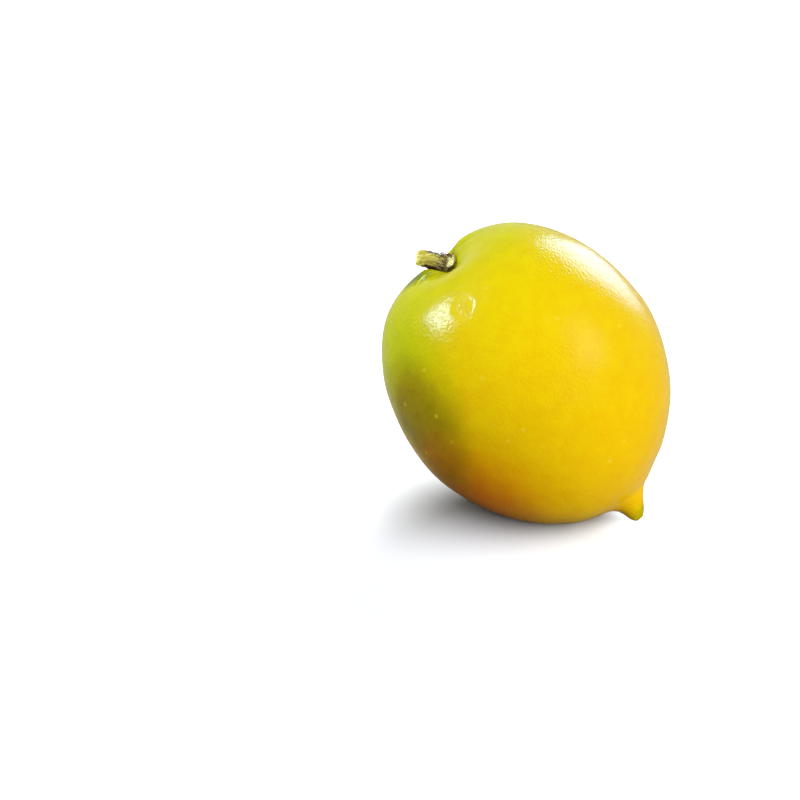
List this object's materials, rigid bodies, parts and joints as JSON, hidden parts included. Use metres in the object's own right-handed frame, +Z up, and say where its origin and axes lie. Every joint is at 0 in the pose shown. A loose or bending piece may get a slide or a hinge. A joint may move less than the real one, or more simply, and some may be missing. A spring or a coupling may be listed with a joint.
{
  "type": "abiu",
  "caption": "Ripe yellow abiu fruit lying on a small flat spot of its skin, with a pointed tip and a dimple that holds a cut stalk stub and dried calyx lobes.",
  "frame": {"origin": "centre of the flat spot that the fruit rests on", "axes": "+Z up, +X along the floor from the stalk's side to the tip's side, +Y across, square to the plane through the fruit's axis"},
  "size_m": [0.0772, 0.0717, 0.0757],
  "materials": {
    "skin": "waxy and glossy, finely pored, golden yellow with green at the stalk and the tip",
    "stalk": "rough olive bark with a blunt cut end",
    "dried_calyx": "dry, brown and papery, paler in the middle"
  },
  "bodies": {
    "root": {"fruit": "skin", "stem": "stalk", "sepal_1": "dried_calyx", "sepal_2": "dried_calyx", "sepal_3": "dried_calyx", "sepal_4": "dried_calyx"}
  },
  "joints": []
}
